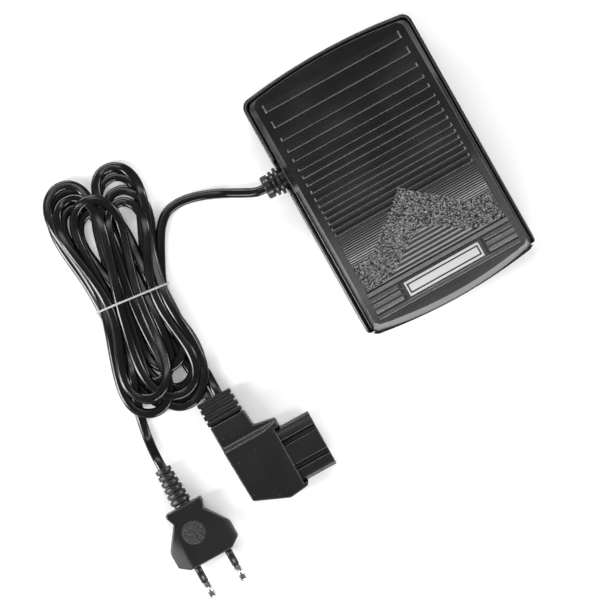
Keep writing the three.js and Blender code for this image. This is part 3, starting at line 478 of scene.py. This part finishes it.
def lead_tube(name, line):
    """A sheath swept along the line with its flat face kept level."""
    line = smooth_line(np.vstack([line[:1], evened(line)[2:-2:3], line[-1:]]), 2 * MM)
    section = lead_section()
    vertices, faces = [], []
    tangents = np.gradient(line, axis=0)
    for place, tangent in zip(line, tangents):
        along = Vector(tangent).normalized()
        across = along.cross(Vector((0, 0, 1))).normalized()
        up = across.cross(along)
        vertices += [Vector(place) + across * a + up * b for a, b in section]
    around = len(section)
    for ring in range(len(line) - 1):
        for i in range(around):
            j = (i + 1) % around
            faces.append((ring * around + i, ring * around + j, (ring + 1) * around + j, (ring + 1) * around + i))
    faces.append(tuple(range(around)))
    faces.append(tuple((len(line) - 1) * around + i for i in reversed(range(around))))
    mesh = bpy.data.meshes.new(name)
    mesh.from_pydata(vertices, [], faces)
    mesh.validate()
    body = bmesh.new()
    body.from_mesh(mesh)
    bmesh.ops.recalc_face_normals(body, faces=body.faces)
    body.to_mesh(mesh)
    body.free()
    mesh.shade_smooth()
    lead = bpy.data.objects.new(name, mesh)
    scene.collection.objects.link(lead)
    return lead, line


pedal_lead, pedal_path = lead_tube("pedal_lead", pedal_line)
plug_lead, plug_path = lead_tube("plug_lead", plug_line)
for lead, stands_for in ((pedal_lead, ("lead_pedal_run", "lead_connector_run_1", "lead_hank")),
                         (plug_lead, ("lead_connector_run_2", "lead_plug_run"))):
    lead.data.materials.append(lead_sheath)
    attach(lead, "tray")
    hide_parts(*stands_for)


# ------------------------------------------------------------------ tie
# A white plastic-covered wire goes once round the waist of the hank; it is drawn as a closed ring, and its twisted
# ends are not drawn.
tie_white = finish("tie_white", (0.34, 0.34, 0.33), (0.5, 0.5, 0.48), (0.35, 0.5), grain=600)


def tube_along(name, points, radius, body, material, sides=10):
    points = [Vector(p) for p in points]
    vertices, faces = [], []
    for i, p in enumerate(points):
        along = (points[min(i + 1, len(points) - 1)] - points[max(i - 1, 0)]).normalized()
        across = along.cross(Vector((math.sin(HANK_LEAN), math.cos(HANK_LEAN), 0)))
        if across.length < 0.2:
            across = along.cross(Vector((0, 0, 1)))
        across.normalize()
        up = along.cross(across)
        vertices += [p + (across * math.cos(2 * math.pi * k / sides) + up * math.sin(2 * math.pi * k / sides)) * radius
                     for k in range(sides)]
    for ring in range(len(points) - 1):
        for k in range(sides):
            m = (k + 1) % sides
            faces.append((ring * sides + k, ring * sides + m, (ring + 1) * sides + m, (ring + 1) * sides + k))
    faces.append(tuple(range(sides)))
    faces.append(tuple((len(points) - 1) * sides + k for k in reversed(range(sides))))
    return solid_piece(name, vertices, faces, body, material, smooth=True)


def outer_hull(points):
    """The convex outline of flat points, anticlockwise."""
    points = sorted(points)
    outline = []
    for run in (points, points[::-1]):
        side = []
        for p in run:
            while len(side) > 1 and ((side[-1][0] - side[-2][0]) * (p[1] - side[-2][1])
                                     - (side[-1][1] - side[-2][1]) * (p[0] - side[-2][0])) <= 0:
                side.pop()
            side.append(p)
        outline += side[:-1]
    return outline


TIE_RADIUS = 0.55 * MM
waist_points = []
for path in (pedal_path, plug_path):
    flat = path[:, :2] - np.array(HANK_WAIST)
    along = flat @ np.array((math.sin(HANK_LEAN), math.cos(HANK_LEAN)))
    across = flat @ np.array((math.cos(HANK_LEAN), -math.sin(HANK_LEAN)))
    for a, z in zip(across[np.abs(along) < 2.5 * MM], path[np.abs(along) < 2.5 * MM, 2]):
        if abs(a) < 24 * MM:
            waist_points += [(a + (LEAD_WIDTH / 2 + TIE_RADIUS) * math.cos(t), max(
                TIE_RADIUS, z + (LEAD_THICKNESS / 2 + TIE_RADIUS) * math.sin(t))) for t in np.linspace(0, 2 * math.pi, 16)]
hull = outer_hull(waist_points)
tie_path = [in_hank(a / MM, 0, z / MM) for a, z in hull + hull[:1]]
tie_path = [tuple(p) for p in smooth_line(tie_path, 1.2 * MM)]
tie = tube_along("waist_tie", tie_path, TIE_RADIUS, "tray", tie_white)
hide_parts("hank_tie")


# ------------------------------------------------------------------ tread cover
# The moving cover is one black plastic moulding.  Steps across its heel half get closer towards the
# toe, fine ribs and a grained chevron fill the middle, and five coarse bars flank the badge.
PANEL_HEEL = -70.6
RIB_HEIGHT = 0.7
RIB_START_HEIGHT = 0.25
RIB_HALF_WIDTH = 41
HEEL_RIBS = [
    (-63.2, -59.3), (-54.2, -50), (-45.4, -42), (-38.3, -35.2), (-32.4, -29.5), (-26.8, -23.9),
    (-21.6, -19.3), (-17, -14.8), (-12.4, -10.3), (-7.8, -5.8), (-3.9, -2.1), (-0.3, 1.5), (3.2, 5),
    (6.6, 8.4), (10.1, 11.9), (13.6, 15.4)]
CHEVRON_HEEL_EDGE = ((0, 8.5), (6.5, 14.7), (12.5, 19.6), (27.9, 32.2), (41.2, 34.5))
CHEVRON_TOE_EDGE = ((0, 33), (8.9, 36.3), (18.3, 43.5), (25.8, 47.2), (32, 48), (41.2, 48.6))
BAR_FIRST, BAR_PITCH, BAR_WIDTH, BAR_COUNT = 49.3, 3.2, 2.2, 5
BADGE_HALF_WIDTH, BADGE_HEEL, BADGE_TOE = 22.2, 53.2, 61.2
FINE_PITCH, NOTCH_PITCH = 1.22, 2.35


def panel_height(y):
    run = y - PANEL_HEEL
    return 21 + 0.2217 * run - 0.0004135 * run * run


def rounded_rib(phase, share):
    """A half-round ridge filling the first share of each unit of phase, 0 to 1 high."""
    return np.sqrt(np.clip(np.sin(np.pi * np.mod(phase, 1) / share), 0, 1)) * (np.mod(phase, 1) < share)


def pattern_height(x, y, grain):
    """Height of the moulded pattern above the plain panel, in millimetres, over arrays of places."""
    side = np.abs(x)
    height = np.full(x.shape, 0.04)
    heel_edge = np.interp(side, *zip(*CHEVRON_HEEL_EDGE))
    toe_edge = np.interp(side, *zip(*CHEVRON_TOE_EDGE))
    ribbed = side < RIB_HALF_WIDTH
    before_chevron = ribbed & (y < heel_edge)
    for number, (start, end) in enumerate(HEEL_RIBS):
        climbed = np.clip((y - start) / (end - start), 0, 1)
        rise = RIB_START_HEIGHT + (RIB_HEIGHT - RIB_START_HEIGHT) * climbed
        past = np.clip((y - end) / CREST_RADIUS, 0, 1)
        crest = rise + 0.08 - (rise + 0.04) * (1 - np.sqrt(1 - past ** 2))
        here = before_chevron & (y > start - 0.1) & (y < end + CREST_RADIUS)
        height = np.where(here, crest, height)
        tick = TICK_LENGTHS[min(number, len(TICK_LENGTHS) - 1)]
        knob = 0.5 * np.clip(1 - ((side - TICK_X) / 0.42) ** 2, 0, 1) ** 0.5
        knob *= np.clip(1 - ((y - end + tick / 2 - 0.3) / (tick / 2)) ** 6, 0, 1)
        height = np.where(before_chevron | (side < RIB_HALF_WIDTH + 0.2), np.maximum(height, np.where(
            knob > 0, knob + 0.7, 0) * (y < heel_edge)), height)
    fine = before_chevron & (y > FINE_START)
    height = np.where(fine, 0.1 + 0.5 * rounded_rib((y - FINE_START) / FINE_PITCH, 0.62), height)
    notch = ribbed & (y > toe_edge) & (y < BAR_FIRST - 0.6)
    height = np.where(notch, 0.1 + 0.55 * rounded_rib((y - 35.5) / NOTCH_PITCH, 0.5), height)
    grained = ribbed & (y > heel_edge) & (y < toe_edge)
    height = np.where(grained, 0.12 + grain, height)
    beside_badge = side > BADGE_HALF_WIDTH + 3
    for i in range(BAR_COUNT):
        start = BAR_FIRST + BAR_PITCH * i
        end = start + BAR_WIDTH
        crosses = end < BADGE_HEEL - 1 or start > BADGE_TOE + 0.8
        here = (y > start - 0.1) & (y < end + 0.1) & (beside_badge | crosses)
        lines = 0.32 * rounded_rib((y - start) / BAR_LINE_PITCH, 0.6)
        height = np.where(here, RIB_HEIGHT + 0.05 + lines, height)
    frame_edge = (side < BADGE_HALF_WIDTH + 1.75) & (y > BADGE_HEEL - 0.85) & (y < BADGE_TOE + 0.85)
    height = np.where(frame_edge, RIB_HEIGHT + 0.06, height)
    return height


def painted_highlight_places(x, y, raised, grain):
    """How much painted highlight greys the surface, 0 to 1, in place of light caught: most on crests, fine ribs and
    the grain.
    """
    crest = np.zeros(x.shape)
    for start, end in HEEL_RIBS:
        crest = np.maximum(crest, np.clip(1 - np.abs(y - end - 0.08) / 0.22, 0, 1))
    patchy = np.clip(1.15 - grain * 0.8, 0.3, 1)
    stepped = 0.6 * crest * patchy * (raised > 0.3) + (raised > 0.82) * 0.5
    fine = np.clip((raised - 0.22) / 0.4, 0, 1) * np.clip((y - FINE_START) / 6, 0.4, 1)
    bars = np.clip((raised - 0.86) / 0.2, 0, 1)
    highlit = np.where(y < FINE_START, stepped, np.where(y < BAR_FIRST - 0.6, fine, bars))
    heel_edge = np.interp(np.abs(x), *zip(*CHEVRON_HEEL_EDGE))
    toe_edge = np.interp(np.abs(x), *zip(*CHEVRON_TOE_EDGE))
    grained = (np.abs(x) < RIB_HALF_WIDTH) & (y > heel_edge) & (y < toe_edge)
    return np.where(grained, np.clip((grain - 0.28) / 0.3, 0, 1), highlit)


# The light grey given here is painted highlight for the pattern's crests, rib-end ticks, fine ribs, bars and grain.
tread_plastic = finish("tread_plastic", (0.003, 0.003, 0.0035), (0.007, 0.007, 0.008), (0.2, 0.3),
                       grain_depth=0.08, highlight_grey=(0.2, 0.2, 0.205))
CREST_RADIUS = 0.55
TICK_LENGTHS = (4.4, 3.4, 1.3, 1.1)
TICK_X = 40.4
FINE_START = 17.6
BAR_LINE_PITCH = 0.75


def tread_pattern():
    """A thin closed skin on the panel that carries the whole pattern, open over the badge."""
    heel, toe, half = -65.4, 65.6, 41.4
    crest_steps = (-0.02, 0.16, 0.3, 0.42, 0.5, 0.54, 0.56)
    breaks = [place for start, end in HEEL_RIBS
              for place in (start - 0.12, start - 0.08, *(end + step for step in crest_steps))]
    rows = np.concatenate([np.arange(heel, 17, 0.55), np.arange(17, toe, 0.24), breaks, [toe]])
    rows = np.unique(np.round(rows, 2))
    ends = np.concatenate([side * np.arange(39.4, half, 0.2) for side in (-1, 1)])
    columns = np.unique(np.round(np.concatenate([np.linspace(-half, half, 141), ends]), 2))
    x, y = np.meshgrid(columns, rows)
    random = np.random.default_rng(11)
    coarse = random.random((len(rows) // 2 + 2, len(columns) + 1))
    grain = np.repeat(coarse, 2, axis=0)[:len(rows), :len(columns)]
    grain = 0.62 * grain + 0.1 * random.random(x.shape)
    height = panel_height(y) + pattern_height(x, y, grain)
    under = panel_height(y) - 0.35
    count_x, count_y = len(columns), len(rows)
    top = np.stack([x, y, height], -1).reshape(-1, 3)
    bottom = np.stack([x, y, under], -1).reshape(-1, 3)
    vertices = np.concatenate([top, bottom]) * MM
    lower = count_x * count_y
    faces = []
    inside_badge = ((np.abs(x) < BADGE_HALF_WIDTH + 0.1) & (y > BADGE_HEEL - 0.1) & (y < BADGE_TOE + 0.1))
    cell = ~(inside_badge[:-1, :-1] & inside_badge[1:, 1:])
    for j in range(count_y - 1):
        for i in range(count_x - 1):
            if not cell[j, i]:
                continue
            a, b = j * count_x + i, j * count_x + i + 1
            c, d = b + count_x, a + count_x
            faces.append((a, b, c, d))
            faces.append((a + lower, d + lower, c + lower, b + lower))
            if i == 0 or not cell[j, i - 1]:
                faces.append((a, d, d + lower, a + lower))
            if i == count_x - 2 or not cell[j, i + 1]:
                faces.append((c, b, b + lower, c + lower))
            if j == 0 or not cell[j - 1, i]:
                faces.append((b, a, a + lower, b + lower))
            if j == count_y - 2 or not cell[j + 1, i]:
                faces.append((d, c, c + lower, d + lower))
    skin = solid_piece("tread_pattern", vertices, faces, "tread", tread_plastic, smooth=True)
    # Painted highlight: how much light grey each point of the pattern gets, in place of light caught by crests, ribs
    # and grain.
    painted_highlight = skin.data.attributes.new("painted_highlight", "FLOAT", "POINT")
    highlit = painted_highlight_places(x, y, height - panel_height(y), grain)
    painted_highlight.data.foreach_set("value", np.concatenate([highlit.ravel(), np.zeros(highlit.size)]).astype(np.float32))
    return skin


tread_pattern()
wear(satin_plastic, "tread_cover", "base_tray")
soften_edges(0.5 * MM, "tread_cover", segments=2, clamp=True)
soften_edges(0.9 * MM, "base_tray", segments=3)

# ------------------------------------------------------------------ badge
# A thin brushed plate is glued in the frame beside the bars, with a printed black border line.
silver_badge = finish("silver_badge", (0.5, 0.5, 0.51), (0.64, 0.64, 0.65), (0.32, 0.46), metallic=0.35,
                      streak=(60, 2400, 2400), grain_depth=0.05, streak_depth=0.2)
border_black = finish("border_ink", (0.01, 0.01, 0.01), (0.02, 0.02, 0.02), (0.4, 0.5))
wear(silver_badge, "badge_plate")


def badge_border():
    inset, line, lift = 1.3, 0.8, 0.04
    rings = []
    for extra in (inset, inset + line):
        half = BADGE_HALF_WIDTH - extra
        for x, y in ((-half, BADGE_HEEL + extra), (half, BADGE_HEEL + extra),
                     (half, BADGE_TOE - extra), (-half, BADGE_TOE - extra)):
            rings.append((x, y))
    plate = RIB_HEIGHT - 0.1
    vertices = [Vector((x, y, panel_height(y) + plate + dz)) * MM for dz in (lift, -0.1) for x, y in rings]
    faces = []
    for i in range(4):
        j = (i + 1) % 4
        faces += [(i, j, j + 4, i + 4), (i + 8, i + 12, j + 12, j + 8),
                  (i, i + 8, j + 8, j), (i + 4, j + 4, j + 12, i + 12)]
    return solid_piece("badge_border", vertices, faces, "tread", border_black)


badge_border()

# ------------------------------------------------------------------ tray fittings and speed circuit
# Under the cover: a steel rod through the hinge ears, two return springs, and the board with the slide
# potentiometer that the cover's cam plate drives.
brown_board = finish("brown_board", (0.2, 0.11, 0.035), (0.28, 0.17, 0.06), (0.45, 0.6), grain=700)
dark_phenolic = finish("dark_phenolic", (0.02, 0.018, 0.016), (0.035, 0.03, 0.027), (0.4, 0.55))
yellow_case = finish("yellow_case", (0.62, 0.38, 0.05), (0.7, 0.46, 0.08), (0.3, 0.4))
blue_case = finish("blue_case", (0.02, 0.08, 0.3), (0.03, 0.11, 0.36), (0.25, 0.35))
grey_ferrite = finish("grey_ferrite", (0.025, 0.026, 0.028), (0.05, 0.05, 0.053), (0.6, 0.75), grain_depth=0.5)
enamelled_copper = finish("enamelled_copper", (0.45, 0.12, 0.03), (0.58, 0.2, 0.06), (0.25, 0.4), metallic=1.0,
                          streak=(2200, 60, 60), streak_depth=1.0)
cream_ceramic = finish("cream_ceramic", (0.55, 0.5, 0.38), (0.64, 0.6, 0.48), (0.6, 0.7))
plain_aluminium = finish("plain_aluminium", (0.52, 0.53, 0.54), (0.64, 0.65, 0.66), (0.35, 0.5), metallic=1.0,
                         streak=(80, 80, 1800), streak_depth=0.3)
brown_wire = finish("brown_wire", (0.1, 0.035, 0.015), (0.13, 0.05, 0.022), (0.35, 0.45))
blue_wire = finish("blue_wire", (0.025, 0.075, 0.28), (0.035, 0.1, 0.33), (0.35, 0.45))
wear(zinc_steel, "hinge_rod", "return_spring_1", "return_spring_2", "board_screw_1", "board_screw_2",
     "board_screw_3", "clamp_screw_1", "clamp_screw_2")
wear(brown_board, "circuit_board")
wear(dark_phenolic, "slide_potentiometer", "triac", "wiper_slider")
wear(plain_aluminium, "heat_sink")
wear(yellow_case, "suppression_capacitor")
wear(blue_case, "timing_capacitor")
wear(grey_ferrite, "choke_core")
wear(enamelled_copper, "choke_winding")
wear(cream_ceramic, "power_resistor")
wear(matt_plastic, "lead_clamp")
wear(lead_sheath, "inner_lead_end")
wear(brown_wire, "lead_wire_brown")
wear(blue_wire, "lead_wire_blue")
wear(black_rubber, "rubber_foot_1", "rubber_foot_2", "rubber_foot_3", "rubber_foot_4")
soften_edges(0, "hinge_rod", "return_spring_1", "return_spring_2", "choke_winding", "inner_lead_end",
             "lead_wire_brown", "lead_wire_blue")
soften_edges(0.3 * MM, "suppression_capacitor", "timing_capacitor", "slide_potentiometer", "triac", "lead_clamp",
             "rubber_foot_1", "rubber_foot_2", "rubber_foot_3", "rubber_foot_4")

# Each return spring is a coil of zinc-plated wire, drawn at one fixed length in its CAD part's place.
SPRING_WIRE, SPRING_TURNS, SPRING_PRESSED = 0.6 * MM, 6, 0.62


def return_spring(number):
    low, high = (Vector(corner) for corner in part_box(f"return_spring_{number}"))
    centre = (low + high) / 2
    radius = (high.x - low.x) / 2 - SPRING_WIRE
    rings, sides = 32 * SPRING_TURNS, 10
    vertices, faces = [], []
    for ring in range(rings + 1):
        turn = 2 * math.pi * SPRING_TURNS * ring / rings
        out = Vector((math.cos(turn), math.sin(turn), 0))
        height = low.z + SPRING_WIRE + (high.z - low.z - 2 * SPRING_WIRE) * ring / rings
        middle = Vector((centre.x, centre.y, height)) + out * radius
        for k in range(sides):
            angle = 2 * math.pi * k / sides
            vertices.append(middle + (out * math.cos(angle) + Vector((0, 0, math.sin(angle)))) * SPRING_WIRE)
    for ring in range(rings):
        for k in range(sides):
            m = (k + 1) % sides
            faces.append((ring * sides + k, ring * sides + m, (ring + 1) * sides + m, (ring + 1) * sides + k))
    faces.append(tuple(range(sides)))
    faces.append(tuple(rings * sides + k for k in reversed(range(sides))))
    coil = solid_piece(f"spring_coil_{number}", vertices, faces, "tray", zinc_steel, smooth=True)
    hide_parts(f"return_spring_{number}")
    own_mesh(coil)


return_spring(1)
return_spring(2)

# ------------------------------------------------------------------ strain reliefs, connector and plug
# The ringed sleeve in the tray's wall, the right-angle machine connector with its ribbed sleeve and
# three-hole nose, and the two-pin plug are soft PVC mouldings on the leads' ends.
brass_contact = finish("brass_contact", (0.5, 0.33, 0.12), (0.6, 0.42, 0.18), (0.25, 0.4), metallic=1.0)
wear(matt_plastic, "pedal_strain_relief", "connector_strain_relief", "plug_strain_relief", "connector_body",
     "socket_insert", "plug_body", "pin_sleeve_1", "pin_sleeve_2")
wear(brass_contact, "contact_sleeve_1", "contact_sleeve_2", "contact_sleeve_3")
wear(bright_nickel, "plug_pin_1", "plug_pin_2")
soften_edges(0.3 * MM, "pedal_strain_relief", "plug_strain_relief", angle=35)
soften_edges(0.4 * MM, "connector_strain_relief", "socket_insert")
soften_edges(0.8 * MM, "connector_body", "plug_body", segments=3)
soften_edges(0, "plug_pin_1", "plug_pin_2", "pin_sleeve_1", "pin_sleeve_2",
             "contact_sleeve_1", "contact_sleeve_2", "contact_sleeve_3")


def disc(name, centre, radius, top, thickness, material, sides=32, dome=0.0):
    """A thin round pad, such as an ejector mark or a grip patch."""
    vertices = [Vector((centre[0], centre[1], top + dome))]
    for ring_radius, z in ((radius * 0.92, top), (radius, top - thickness), (radius, top - 4 * thickness)):
        vertices += [Vector((centre[0] + ring_radius * math.cos(2 * math.pi * i / sides),
                             centre[1] + ring_radius * math.sin(2 * math.pi * i / sides), z)) for i in range(sides)]
    faces = [(0, 1 + i, 1 + (i + 1) % sides) for i in range(sides)]
    for ring in range(2):
        start = 1 + ring * sides
        faces += [(start + i, start + i + sides, start + (i + 1) % sides + sides, start + (i + 1) % sides)
                  for i in range(sides)]
    faces.append(tuple(1 + 2 * sides + i for i in range(sides)))
    return solid_piece(name, [v * MM for v in vertices], faces, "tray", material, smooth=True)


grip_plastic = finish("grip_grain", (0.006, 0.006, 0.0065), (0.026, 0.026, 0.027), (0.35, 0.5), grain=1100,
                      grain_depth=6.0, drift=900)
disc("plug_grip_patch", (181.3, 114.6), 6.4, 13.78, 0.08, grip_plastic, dome=0.05)
CONNECTOR_MARKS = [(143.5, 79.3, 13.06), (139.3, 80, 13.06), (135, 80.7, 13.06), (131, 81.2, 13.06),
                   (131.5, 92.5, 16.56), (142.5, 94, 16.56), (143.6, 112.5, 16.56), (131.8, 119.2, 16.56)]
mark_black = finish("moulding_mark", (0.004, 0.004, 0.004), (0.008, 0.008, 0.008), (0.6, 0.7))
for number, (x, y, top) in enumerate(CONNECTOR_MARKS, 1):
    disc(f"connector_mark_{number}", (x, y), 0.55, top, 0.02, mark_black, sides=14)
